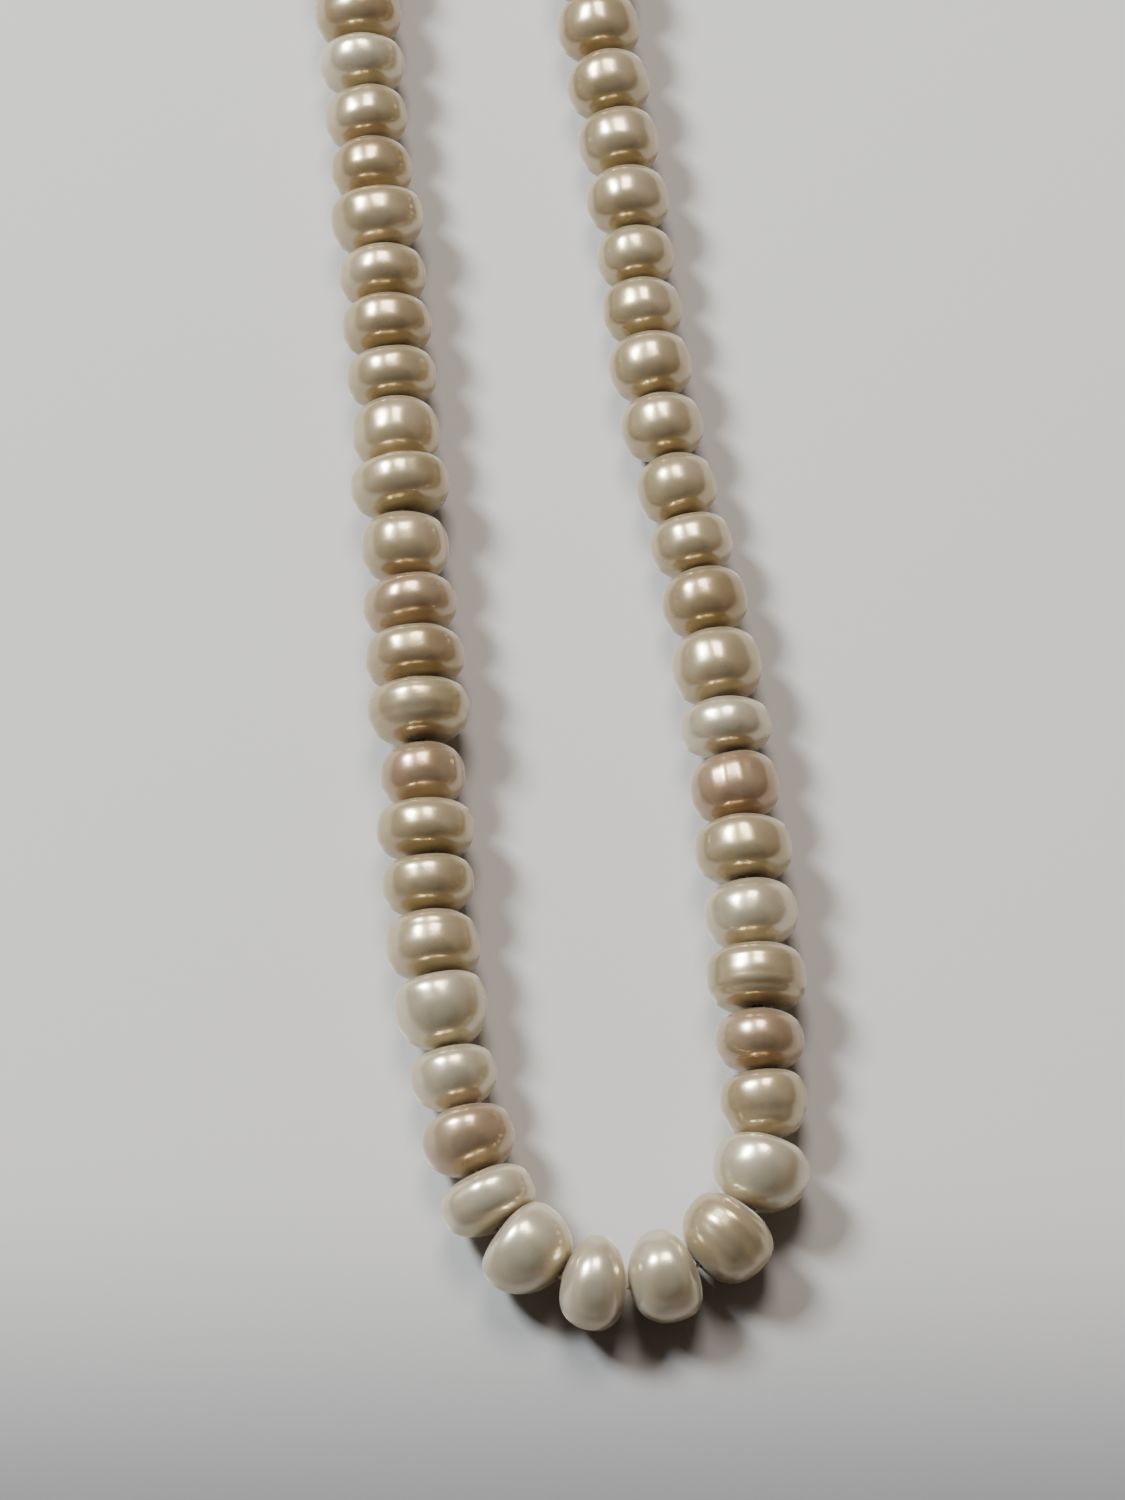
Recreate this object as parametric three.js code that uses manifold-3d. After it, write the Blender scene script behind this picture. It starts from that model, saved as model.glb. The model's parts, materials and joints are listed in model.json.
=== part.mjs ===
// A pearl necklace: button-shaped freshwater pearls on one thread, laid in a narrow
// hairpin on a table. One end carries a lobster claw, the other a flat catch tag.
// Millimetres, +Z up, +Y from the hairpin's bend towards its two ends.

import * as THREE from 'three';
import Module from 'manifold-3d';
import { mergeVertices } from 'three/addons/utils/BufferGeometryUtils.js';

const wasm = await Module();
wasm.setup();

// Pearls. The diameter is across the thread, the length along it.
const PEARL_KINDS = {
  b: { diameter: 7.1, length: 4.6 }, // button
  w: { diameter: 7.5, length: 4.5 }, // wide button
  t: { diameter: 7.2, length: 4.1 }, // thin button
  s: { diameter: 6.4, length: 4.4 }, // small button
  l: { diameter: 6.9, length: 5.0 }, // long button
  o: { diameter: 6.5, length: 4.9 }, // small and long
  r: { diameter: 6.8, length: 5.3 }, // nearly round
};
const PEARLS_IN_ORDER = 'ltssbtttotlttwsttbrsbtrborroswlwltrosooossoooo';
const LEFT_RUNS = ['bsbwbtsbl', 'blsbbtbs']; // outwards from the first pearl
const RIGHT_RUNS = ['lbsblwblb', 'sblbotbs']; // outwards from the last pearl
const BEND_PEARL = 23; // index of the pearl at the foot of the hairpin
const BEND_GAPS = 3; // gaps on each side of it that turn through the bend
const PEARL_GAP = 0.3;
const BEND_GAP = 0.5;
const PEARL_POWER = 2.2; // 2 is an ellipse, more is a squarer button
const PEARL_SIDES = 10;
const PEARL_STEPS = 4; // profile steps from one end of a pearl to the other
const RUN_NECK_ANGLE = 72; // degrees from the equator to where pearls in a run join

const BORE_RADIUS = 0.45;
const THREAD_RADIUS = 0.15;
const THREAD_SIDES = 6;
const KNOT_RADIUS = 0.7;

// The thread's route on the table, from the bend pearl's centre outwards.
const LEFT_ARM = [
  [-2.5, 0], [-7.4, 2.8], [-9.6, 7.3], [-10.6, 12], [-11.2, 17], [-11.8, 22.5], [-12.0, 29], [-11.7, 37],
  [-11.5, 46], [-11.5, 60], [-11.4, 75], [-11.5, 88], [-11.7, 97], [-11.6, 106], [-12.5, 150], [-14.5, 210],
];
const RIGHT_ARM = [
  [-2.5, 0], [2.8, 0.1], [7.5, 2.6], [11.1, 7.3], [11.3, 12.7], [11.6, 18], [11.9, 24], [12.0, 31],
  [11.7, 40], [11.3, 50], [10.5, 58], [9.2, 67.5], [8.7, 76], [8.5, 87], [8.1, 96], [7.5, 104],
  [8.0, 150], [10.5, 210],
];

// Bead tips: a hollow clamshell over the end knot, and a loop that holds a ring.
const TIP_RADIUS = 1.5;
const TIP_WALL = 0.3;
const TIP_HOLE = 0.4;
const TIP_REACH = 2.1; // from the last pearl's end to the clamshell's centre
const TIP_HEIGHT = 1.7;
const LOOP_RADIUS = 1.0;
const LOOP_WIRE = 0.25;
const LOOP_REACH = 2.5; // from the clamshell's centre to the loop's
const LOOP_HEIGHT = 1.5;

// Connecting rings stand on edge through the tips' loops.
const RING_RADIUS = 2.0;
const RING_WIRE = 0.35;
const RING_HEIGHT = RING_RADIUS + RING_WIRE;

// Catch tag: a flat drop-shaped plate, with a small hole for its ring and a large one for the claw.
const TAG_RING_END = 1.7; // radii of its two round ends
const TAG_CLAW_END = 2.7;
const TAG_LENGTH = 6.2; // between the centres of the round ends
const TAG_THICKNESS = 0.5;
const TAG_RING_HOLE = 0.9;
const TAG_CLAW_HOLE = 1.7;
const TAG_HEIGHT = 1.5; // at the ring hole, which the ring holds off the table

// Lobster claw, drawn about its eye's centre, with +Y towards the hook.
const CLAW_THICKNESS = 2.6;
const EYE_RADIUS = 1.6;
const EYE_HOLE = 0.95;
const EYE_THICKNESS = 1.1;
const HOOK_CENTRE = [0, 7.4];
const HOOK_OUTER = 3.2;
const HOOK_INNER = 1.9;
const LEVER_OUTER = 3.1;
const LEVER_INNER = 2.05;
const LEVER_THICKNESS = 1.8;
const LEVER_ROOT_THICKNESS = 1.0;
const SLOT_THICKNESS = 1.3;
const PIVOT = [1.3, 3.8];
const PIVOT_HOLE = 0.4;
const RIVET_RADIUS = 0.3;
const RIVET_HEAD = 0.55;
const RIVET_SINK = 0.3;
const LEVER_REACH = 4.95; // from the pivot to the lever's tip
const TIP_CLEARANCE = 0.15; // between the lever's tip and the hook's

const degrees = THREE.MathUtils.degToRad;

const materials = {
  nacre: { color: 0xeee3d0, roughness: 0.3, metalness: 0 },
  thread: { color: 0xe9dcb4, roughness: 0.9, metalness: 0 },
  silver: { color: 0xc9c6c0, roughness: 0.25, metalness: 1 },
  spring: { color: 0x8f9092, roughness: 0.4, metalness: 1 },
};

const necklace = new THREE.Group();

function add(parent, name, geometry, finish) {
  const mesh = new THREE.Mesh(geometry, new THREE.MeshStandardMaterial(materials[finish]));
  mesh.name = name;
  parent.add(mesh);
  return mesh;
}

// Solids, for cutting and joining.

function solid(geometry) {
  const bare = geometry.clone();
  bare.deleteAttribute('normal');
  bare.deleteAttribute('uv');
  const merged = mergeVertices(bare, 1e-4);
  return new wasm.Manifold(new wasm.Mesh({
    numProp: 3,
    vertProperties: merged.attributes.position.array,
    triVerts: Uint32Array.from(merged.index.array),
  }));
}

function geometryOf(manifold) {
  const { vertProperties, triVerts } = manifold.getMesh();
  const geometry = new THREE.BufferGeometry();
  geometry.setAttribute('position', new THREE.BufferAttribute(vertProperties, 3));
  geometry.setIndex(new THREE.BufferAttribute(triVerts, 1));
  geometry.computeVertexNormals();
  return geometry;
}

// A plate of the given outline, its thickness centred on z = 0.
function plate(shape, thickness, curveSegments = 12) {
  const geometry = new THREE.ExtrudeGeometry(shape, { depth: thickness, bevelEnabled: false, curveSegments });
  return geometry.translate(0, 0, -thickness / 2);
}

function polygon(points) {
  return new THREE.Shape(points.map(([x, y]) => new THREE.Vector2(x, y)));
}

function disc(x, y, radius) {
  return new THREE.Shape().absarc(x, y, radius, 0, 2 * Math.PI);
}

function discWithHole(radius, hole) {
  const shape = disc(0, 0, radius);
  shape.holes.push(new THREE.Path().absarc(0, 0, hole, 0, 2 * Math.PI, true));
  return shape;
}

// A curved bar about the hook's centre, between two angles counted from +X.
function hookBar(outer, inner, from, to) {
  const [x, y] = HOOK_CENTRE;
  return new THREE.Shape()
    .absarc(x, y, outer, degrees(from), degrees(to), false)
    .absarc(x, y, inner, degrees(to), degrees(from), true);
}

// Pearls

// Profile points of one pearl, from its lower end to its upper one, within an angle of its equator.
function pearlProfile({ diameter, length }, centre, widestAngle) {
  const points = [];
  for (let step = 0; step <= PEARL_STEPS; step++) {
    const angle = degrees(widestAngle) * (2 * step / PEARL_STEPS - 1);
    const out = Math.cos(angle) ** (2 / PEARL_POWER);
    const up = Math.abs(Math.sin(angle)) ** (2 / PEARL_POWER) * Math.sign(angle);
    points.push(new THREE.Vector2(diameter / 2 * out, centre + length / 2 * up));
  }
  return points;
}

function lathe(outline) {
  return new THREE.LatheGeometry([...outline, outline[0]], PEARL_SIDES);
}

function pearl(kind) {
  const boreAngle = 90 - 9;
  const outline = pearlProfile(kind, 0, boreAngle);
  const half = kind.length / 2;
  return lathe([new THREE.Vector2(BORE_RADIUS, -half), ...outline, new THREE.Vector2(BORE_RADIUS, half)]);
}

// Pearls that touch end to end on a straight stretch, as one turned solid.
function pearlRun(kinds, length) {
  const outline = [];
  let end = -length / 2;
  for (const kind of kinds) {
    outline.push(...pearlProfile(kind, end + kind.length / 2, RUN_NECK_ANGLE));
    end += kind.length + PEARL_GAP;
  }
  const first = new THREE.Vector2(BORE_RADIUS, -length / 2);
  const last = new THREE.Vector2(BORE_RADIUS, length / 2);
  return lathe([first, ...outline, last]);
}

// The strand

// Walks outwards from the bend pearl's centre and returns the point at each distance.
function walker(points) {
  const curve = new THREE.CatmullRomCurve3(points.map(([x, y]) => new THREE.Vector3(x, y, 0)));
  curve.arcLengthDivisions = 4000;
  const total = curve.getLength();
  return (distance) => curve.getPointAt(distance / total);
}

const kindsOf = (letters) => [...letters].map((letter) => PEARL_KINDS[letter]);
const highest = (kinds) => Math.max(...kinds.map(({ diameter }) => diameter / 2));

// The beads of one arm, outwards: single pearls, then runs. Each has a name and its pearls.
function armBeads(step, runs, side) {
  const beads = [];
  for (let i = BEND_PEARL + step; i >= 0 && i < PEARLS_IN_ORDER.length; i += step) {
    beads.push({ name: pearlName(i), kinds: kindsOf(PEARLS_IN_ORDER[i]) });
  }
  runs.forEach((letters, i) => beads.push({ name: `${side}_run_${i + 1}`, kinds: kindsOf(letters) }));
  return beads;
}

function pearlName(index) {
  return `pearl_${String(index + 1).padStart(2, '0')}`;
}

function lengthOf(kinds) {
  return kinds.reduce((sum, { length }) => sum + length, PEARL_GAP * (kinds.length - 1));
}

// A bead lies between two gap points on the table, with its own widest ring on the table.
function placeBead(bead, from, to) {
  const geometry = bead.kinds.length === 1 ? pearl(bead.kinds[0]) : pearlRun(bead.kinds, lengthOf(bead.kinds));
  const mesh = add(necklace, bead.name, geometry, 'nacre');
  mesh.position.lerpVectors(from, to, 0.5).setZ(highest(bead.kinds));
  mesh.rotation.z = Math.atan2(to.y - from.y, to.x - from.x) - Math.PI / 2;
}

// Places an arm's beads and returns the thread's points: one in each gap, the last at the arm's end.
function layArm(points, beads, bendKind) {
  const at = walker(points);
  let distance = bendKind.length / 2 + BEND_GAP / 2;
  let height = bendKind.diameter / 2;
  const gaps = [];
  beads.forEach((bead, i) => {
    const inner = at(distance);
    gaps.push(inner.clone().setZ((height + highest(bead.kinds)) / 2));
    distance += lengthOf(bead.kinds) + (i < BEND_GAPS ? BEND_GAP : PEARL_GAP);
    placeBead(bead, inner, at(distance));
    height = highest(bead.kinds);
  });
  gaps.push(at(distance).setZ(height));
  return gaps;
}

const bendKind = PEARL_KINDS[PEARLS_IN_ORDER[BEND_PEARL]];
const leftGaps = layArm(LEFT_ARM, armBeads(-1, LEFT_RUNS, 'left'), bendKind);
const rightGaps = layArm(RIGHT_ARM, armBeads(1, RIGHT_RUNS, 'right'), bendKind);
placeBead({ name: pearlName(BEND_PEARL), kinds: [bendKind] }, leftGaps[0], rightGaps[0]);

// The fittings at an arm's end stand in a group at its last gap, with +Y outwards along the arm.
function armEnd(gaps) {
  const [before, last] = gaps.slice(-2);
  const end = new THREE.Group();
  end.position.set(last.x, last.y, 0);
  end.rotation.z = Math.atan2(last.y - before.y, last.x - before.x) - Math.PI / 2;
  end.userData.height = last.z;
  necklace.add(end);
  return end;
}

const leftEnd = armEnd(leftGaps);
const rightEnd = armEnd(rightGaps);

// Thread: straight from gap to gap, and into each tip, where it ends in a knot.

class ThreadPath extends THREE.Curve {
  constructor(points) {
    super();
    this.points = points;
  }

  getPoint(t, target = new THREE.Vector3()) {
    const place = t * (this.points.length - 1);
    const i = Math.min(Math.floor(place), this.points.length - 2);
    return target.lerpVectors(this.points[i], this.points[i + 1], place - i);
  }

  // Steps fall on the points themselves, so that every corner lies in a gap.
  getPointAt(u, target) {
    return this.getPoint(u, target);
  }

  getTangentAt(u, target) {
    return this.getTangent(u, target);
  }
}

function tipCentre(end) {
  end.updateMatrixWorld();
  return end.localToWorld(new THREE.Vector3(0, TIP_REACH, TIP_HEIGHT));
}

function stringingThread() {
  const ends = [tipCentre(leftEnd), tipCentre(rightEnd)];
  const points = [ends[0], ...[...leftGaps].reverse(), ...rightGaps, ends[1]];
  const corners = [];
  for (let i = 0; i < THREAD_SIDES; i++) {
    const angle = 2 * Math.PI * i / THREAD_SIDES;
    corners.push([THREAD_RADIUS * Math.cos(angle), THREAD_RADIUS * Math.sin(angle)]);
  }
  const tube = new THREE.ExtrudeGeometry(polygon(corners), {
    steps: points.length - 1,
    extrudePath: new ThreadPath(points),
    bevelEnabled: false,
  });
  let thread = solid(tube);
  for (const { x, y, z } of ends) {
    thread = thread.add(solid(new THREE.SphereGeometry(KNOT_RADIUS, 8, 6).translate(x, y, z)));
  }
  return geometryOf(thread);
}

add(necklace, 'stringing_thread', stringingThread(), 'thread');

// Bead tips

function clamshell(height) {
  const inner = TIP_RADIUS - TIP_WALL;
  const arc = (radius, from, to) => {
    const steps = 6;
    return Array.from({ length: steps + 1 }, (_, i) => {
      const angle = from + (to - from) * i / steps;
      return new THREE.Vector2(radius * Math.cos(angle), radius * Math.sin(angle));
    });
  };
  const pole = -Math.PI / 2;
  const outline = [
    ...arc(TIP_RADIUS, pole, Math.acos(TIP_HOLE / TIP_RADIUS)),
    ...arc(inner, Math.acos(TIP_HOLE / inner), pole),
  ];
  outline[0].x = 0;
  outline[outline.length - 1].x = 0;
  const shell = new THREE.LatheGeometry(outline, 12);
  shell.rotateX(Math.PI - Math.atan2(height - TIP_HEIGHT, TIP_REACH));
  return shell.translate(0, TIP_REACH, TIP_HEIGHT);
}

function beadTip(end, name) {
  const loop = new THREE.TorusGeometry(LOOP_RADIUS, LOOP_WIRE, 6, 16);
  loop.translate(0, TIP_REACH + LOOP_REACH, LOOP_HEIGHT);
  const tip = solid(clamshell(end.userData.height)).add(solid(loop));
  add(end, name, geometryOf(tip), 'silver');
}

beadTip(leftEnd, 'bead_tip_left');
beadTip(rightEnd, 'bead_tip_right');

// Connecting rings

// How far a ring's centre stands from what it passes through at a height.
const ringOffset = (height) => Math.sqrt(RING_RADIUS ** 2 - (RING_HEIGHT - height) ** 2);
const RING_PLACE = TIP_REACH + LOOP_REACH + ringOffset(LOOP_HEIGHT);

function connectingRing(end, name) {
  const ring = new THREE.TorusGeometry(RING_RADIUS, RING_WIRE, 6, 20).rotateY(Math.PI / 2);
  add(end, name, ring, 'silver').position.set(0, RING_PLACE, RING_HEIGHT);
}

connectingRing(leftEnd, 'catch_ring');
connectingRing(rightEnd, 'claw_ring');

// Catch tag, its far end on the table

function catchTag() {
  const lean = Math.asin((TAG_CLAW_END - TAG_RING_END) / TAG_LENGTH);
  const outline = new THREE.Shape()
    .absarc(0, 0, TAG_RING_END, Math.PI + lean, 2 * Math.PI - lean, false)
    .absarc(0, TAG_LENGTH, TAG_CLAW_END, -lean, Math.PI + lean, false);
  outline.holes.push(new THREE.Path().absarc(0, 0, TAG_RING_HOLE, 0, 2 * Math.PI, true));
  outline.holes.push(new THREE.Path().absarc(0, TAG_LENGTH, TAG_CLAW_HOLE, 0, 2 * Math.PI, true));
  return plate(outline, TAG_THICKNESS, 8);
}

const tag = add(leftEnd, 'catch_tag', catchTag(), 'silver');
tag.position.set(0, RING_PLACE + ringOffset(TAG_HEIGHT), TAG_HEIGHT);
tag.rotation.x = -Math.asin((TAG_HEIGHT - TAG_THICKNESS / 2) / (TAG_LENGTH + TAG_CLAW_END));

// Lobster claw, lying flat on the table

const claw = new THREE.Group();
claw.position.set(0, RING_PLACE + ringOffset(CLAW_THICKNESS / 2), CLAW_THICKNESS / 2);
rightEnd.add(claw);

function clawBody() {
  const [x, y] = PIVOT;
  const hook = solid(plate(hookBar(HOOK_OUTER, HOOK_INNER, 20, 255), CLAW_THICKNESS, 16));
  const tail = solid(plate(polygon([
    [-1.3, 1.2], [1.3, 1.2], [2.5, 3.0], [2.5, 4.6], [1.2, 5.5], [-1.0, 5.6], [-2.6, 5.6], [-2.5, 3.0],
  ]), CLAW_THICKNESS));
  const eye = solid(plate(discWithHole(EYE_RADIUS, EYE_HOLE), EYE_THICKNESS, 8));
  const slot = solid(plate(polygon([[-0.9, 1.9], [4, 1.9], [4, 7], [-0.9, 7]]), SLOT_THICKNESS));
  const pinHole = solid(plate(disc(x, y, PIVOT_HOLE), 2 * CLAW_THICKNESS, 6));
  const sweep = solid(plate(disc(x, y, LEVER_REACH + TIP_CLEARANCE), 2 * CLAW_THICKNESS, 32));
  const mouth = solid(plate(polygon([[0.8, 6.2], [5, 6.2], [5, 10], [0.8, 10]]), 2 * CLAW_THICKNESS));
  const sink = solid(plate(disc(x, y, RIVET_HEAD + 0.1), 2 * RIVET_SINK, 8));
  const face = CLAW_THICKNESS / 2;
  return geometryOf(hook.subtract(sweep.intersect(mouth)).add(tail).add(eye)
    .subtract(slot).subtract(pinHole)
    .subtract(sink.translate(0, 0, face)).subtract(sink.translate(0, 0, -face)));
}

function clawLever() {
  const [x, y] = PIVOT;
  const reach = solid(plate(disc(x, y, LEVER_REACH), CLAW_THICKNESS, 32));
  const bar = solid(plate(hookBar(LEVER_OUTER, LEVER_INNER, -20, 60), LEVER_THICKNESS, 10));
  const boss = solid(plate(disc(x, y, 0.95), LEVER_ROOT_THICKNESS, 8));
  const root = solid(plate(polygon([
    [-0.35, 3.3], [2.0, 3.4], [2.4, 4.6], [3.9, 4.9], [4.0, 5.5], [2.8, 6.4], [2.85, 6.9],
    [1.95, 6.9], [1.3, 5.2], [0.55, 4.5], [-0.35, 4.1],
  ]), LEVER_ROOT_THICKNESS));
  const pinHole = solid(plate(disc(x, y, PIVOT_HOLE), CLAW_THICKNESS, 6));
  return geometryOf(bar.intersect(reach).add(boss).add(root).subtract(pinHole));
}

// A rivet with a flush head at each end.
function leverRivet() {
  const top = CLAW_THICKNESS / 2 - 0.05;
  const neck = top - RIVET_SINK + 0.1;
  const outline = [[0, -top], [RIVET_HEAD, -top], [RIVET_HEAD, -neck], [RIVET_RADIUS, -neck],
    [RIVET_RADIUS, neck], [RIVET_HEAD, neck], [RIVET_HEAD, top], [0, top]];
  const rivet = new THREE.LatheGeometry(outline.map(([r, z]) => new THREE.Vector2(r, z)), 12);
  return rivet.rotateX(Math.PI / 2).translate(...PIVOT, 0);
}

// A folded leaf between the slot's floor and the lever's heel.
function leverSpring() {
  return plate(polygon([
    [0.7, 2.05], [0.7, 2.2], [-0.45, 2.32], [0.5, 2.95], [0.42, 3.08], [-0.75, 2.35], [-0.72, 2.2],
  ]), 0.7);
}

add(claw, 'claw_body', clawBody(), 'silver');
add(claw, 'claw_lever', clawLever(), 'silver');
add(claw, 'lever_rivet', leverRivet(), 'silver');
add(claw, 'lever_spring', leverSpring(), 'spring');

// The origin is on the table, under the middle of the necklace's box.
const middle = new THREE.Box3().setFromObject(necklace).getCenter(new THREE.Vector3());
necklace.position.set(-middle.x, -middle.y, 0);

export default necklace;
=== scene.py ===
"""Pearl necklace: freshwater button pearls on one thread, laid on a table in a narrow hairpin.

One end of the thread carries a catch tag and the other a lobster claw. Metres, +Z up.
"""

import json  # noqa: E402
import math  # noqa: E402

import bmesh  # noqa: E402
import bpy  # noqa: E402
from mathutils import Matrix, Vector, noise  # noqa: E402

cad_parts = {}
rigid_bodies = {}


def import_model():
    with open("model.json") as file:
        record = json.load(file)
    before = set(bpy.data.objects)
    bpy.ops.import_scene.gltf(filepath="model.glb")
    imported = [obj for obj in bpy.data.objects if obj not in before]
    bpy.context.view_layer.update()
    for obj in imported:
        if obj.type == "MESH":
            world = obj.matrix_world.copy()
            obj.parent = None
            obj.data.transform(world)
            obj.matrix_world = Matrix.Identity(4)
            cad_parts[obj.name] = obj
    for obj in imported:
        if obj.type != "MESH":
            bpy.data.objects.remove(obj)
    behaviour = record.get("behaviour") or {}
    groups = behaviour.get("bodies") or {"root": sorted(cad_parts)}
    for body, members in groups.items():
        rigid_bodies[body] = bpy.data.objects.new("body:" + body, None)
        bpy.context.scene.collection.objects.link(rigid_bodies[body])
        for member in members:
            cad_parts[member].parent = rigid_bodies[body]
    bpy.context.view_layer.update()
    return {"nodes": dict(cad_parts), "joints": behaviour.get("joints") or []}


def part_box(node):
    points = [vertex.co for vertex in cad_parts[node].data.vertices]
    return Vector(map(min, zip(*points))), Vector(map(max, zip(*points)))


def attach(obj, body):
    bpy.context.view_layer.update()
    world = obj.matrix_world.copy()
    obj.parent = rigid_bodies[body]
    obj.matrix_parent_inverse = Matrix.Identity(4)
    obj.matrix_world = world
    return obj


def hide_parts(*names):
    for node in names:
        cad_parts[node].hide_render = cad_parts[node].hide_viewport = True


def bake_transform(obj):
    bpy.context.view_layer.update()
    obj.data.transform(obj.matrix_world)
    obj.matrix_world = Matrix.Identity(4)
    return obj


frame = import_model()
MM = 0.001


# Table, light and camera
# A matt pale table top. A window's cool light and a lamp's warm light come from above and beyond, and
# whoever leans over the necklace is the dark shape in the room that the pearls show. The table's near
# edge is darkened in its colour, as a painted shadow of that figure.

TABLE_HALF = 4.0
TABLE_COLOUR = (0.46, 0.443, 0.427, 1)
# The next colour and the three distances after it paint a shadow into the table's colour: the shade of
# whoever leans over the necklace.
TABLE_PAINTED_SHADOW_COLOUR = (0.155, 0.147, 0.15, 1)
PAINTED_SHADOW_START = 12 * MM  # the painted shadow on the table starts this far beyond the strand's foot
PAINTED_SHADOW_DARKEST = 22 * MM  # the painted shadow is darkest this far before the foot
PAINTED_SHADOW_END = 260 * MM  # and the painted shadow has faded out again this far before the foot
ROOM_COLOUR = (0.70, 0.56, 0.45, 1)
FIGURE_COLOUR = (0.02, 0.012, 0.008, 1)
ROOM_STRENGTH = 0.36
FIGURE_TOWARDS = (0.03, -0.55, 0.83)
FIGURE_INNER = 34  # degrees from its middle, within which the figure is quite dark
FIGURE_OUTER = 52  # degrees from its middle to its edge
LIGHT_DISTANCE = 1.0
HEADING = math.radians(5.2)  # the camera looks a little to the right of +Y
ELEVATION = math.radians(70)
CAMERA_DISTANCE = 0.341
CAMERA_LENS = 108
CAMERA_SENSOR = 36
CAMERA_NEAREST = 0.01
CAMERA_FARTHEST = 20
AIM_RIGHT = 1.46 * MM  # from the strand's foot to the middle of the view
AIM_BEYOND = 41.23 * MM

foot = sum(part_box("pearl_24"), Vector()) / 2
aim = Vector((foot.x + AIM_RIGHT, foot.y + AIM_BEYOND, foot.z))

camera_back = Vector(
    (
        -math.sin(HEADING) * math.cos(ELEVATION),
        -math.cos(HEADING) * math.cos(ELEVATION),
        math.sin(ELEVATION),
    )
)
camera_data = bpy.data.cameras.new("camera")
camera_data.lens = CAMERA_LENS
camera_data.sensor_width = CAMERA_SENSOR
camera_data.clip_start = CAMERA_NEAREST
camera_data.clip_end = CAMERA_FARTHEST
camera = bpy.data.objects.new("camera", camera_data)
camera.location = aim + camera_back * CAMERA_DISTANCE
camera.rotation_mode = "QUATERNION"
camera.rotation_quaternion = (-camera_back).to_track_quat("-Z", "Y")
bpy.context.scene.collection.objects.link(camera)
bpy.context.scene.camera = camera


def soft_light(name, direction, size, power, colour):
    """A square soft light that shines at the middle of the view from a direction."""
    data = bpy.data.lights.new(name, "AREA")
    data.size = size
    data.energy = power
    data.color = colour
    light = bpy.data.objects.new(name, data)
    towards = Vector(direction).normalized()
    light.location = aim + towards * LIGHT_DISTANCE
    light.rotation_mode = "QUATERNION"
    light.rotation_quaternion = (-towards).to_track_quat("-Z", "Y")
    bpy.context.scene.collection.objects.link(light)


soft_light("window", direction=(-0.52, 0.46, 0.72), size=0.24, power=21.0, colour=(0.86, 0.94, 1.0))
soft_light("lamp", direction=(0.07, 0.52, 0.84), size=0.34, power=9.0, colour=(1.0, 0.94, 0.88))

world = bpy.data.worlds.new("room")
world.use_nodes = True
bpy.context.scene.world = world
room = world.node_tree
background = room.nodes["Background"]


# Places of a mix node's colour sockets.
FIRST_COLOUR = 6
SECOND_COLOUR = 7
MIXED_COLOUR = 2


def colour_mix(tree, share):
    """A node that goes from its first colour to its second as a share rises from 0 to 1."""
    mix = tree.nodes.new("ShaderNodeMix")
    mix.data_type = "RGBA"
    tree.links.new(share, mix.inputs["Factor"])
    return mix


def towards_share(direction, inner, outer):
    """A socket that is 1 within inner degrees of a direction of the room, and 0 past outer degrees."""
    where = room.nodes.new("ShaderNodeTexCoord")
    facing = room.nodes.new("ShaderNodeVectorMath")
    facing.operation = "DOT_PRODUCT"
    facing.inputs[1].default_value = Vector(direction).normalized()
    share = room.nodes.new("ShaderNodeMapRange")
    share.interpolation_type = "SMOOTHSTEP"
    share.inputs["From Min"].default_value = math.cos(math.radians(outer))
    share.inputs["From Max"].default_value = math.cos(math.radians(inner))
    room.links.new(where.outputs["Generated"], facing.inputs[0])
    room.links.new(facing.outputs["Value"], share.inputs["Value"])
    return share.outputs["Result"]


figure = towards_share(FIGURE_TOWARDS, FIGURE_INNER, FIGURE_OUTER)
walls = colour_mix(room, figure)
walls.inputs[FIRST_COLOUR].default_value = ROOM_COLOUR
walls.inputs[SECOND_COLOUR].default_value = FIGURE_COLOUR
room.links.new(walls.outputs[MIXED_COLOUR], background.inputs["Color"])
background.inputs["Strength"].default_value = ROOM_STRENGTH


SHARP_EDGE = math.radians(40)
QUARTER_TURN = math.radians(90)


def finished(name, bm, *materials):
    """A new object at the origin with the bmesh as its mesh, smooth except at sharp edges."""
    mesh = bpy.data.meshes.new(name)
    bm.to_mesh(mesh)
    bm.free()
    for polygon in mesh.polygons:
        polygon.use_smooth = True
    mesh.set_sharp_from_angle(angle=SHARP_EDGE)
    for material in materials:
        mesh.materials.append(material)
    made = bpy.data.objects.new(name, mesh)
    bpy.context.scene.collection.objects.link(made)
    return made


def material_nodes(name):
    """A new material, its node tree and its shader."""
    material = bpy.data.materials.new(name)
    material.use_nodes = True
    tree = material.node_tree
    return material, tree, tree.nodes["Principled BSDF"]


def noise_node(tree, scale, detail=2.0, roughness=0.5, offset=(0, 0, 0)):
    """Noise on Object coordinates. Scale is in features per metre."""
    where = tree.nodes.new("ShaderNodeTexCoord")
    place = tree.nodes.new("ShaderNodeMapping")
    place.inputs["Location"].default_value = offset
    pattern = tree.nodes.new("ShaderNodeTexNoise")
    pattern.inputs["Scale"].default_value = scale
    pattern.inputs["Detail"].default_value = detail
    pattern.inputs["Roughness"].default_value = roughness
    tree.links.new(where.outputs["Object"], place.inputs["Vector"])
    tree.links.new(place.outputs["Vector"], pattern.inputs["Vector"])
    return pattern.outputs["Fac"]


def ramp_node(tree, share, *stops):
    """A colour ramp with the given (place, colour) stops."""
    ramp = tree.nodes.new("ShaderNodeValToRGB")
    elements = ramp.color_ramp.elements
    elements[0].position, elements[0].color = stops[0]
    elements[1].position, elements[1].color = stops[-1]
    for place, colour in stops[1:-1]:
        elements.new(place).color = colour
    tree.links.new(share, ramp.inputs["Fac"])
    return ramp.outputs["Color"]


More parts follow.
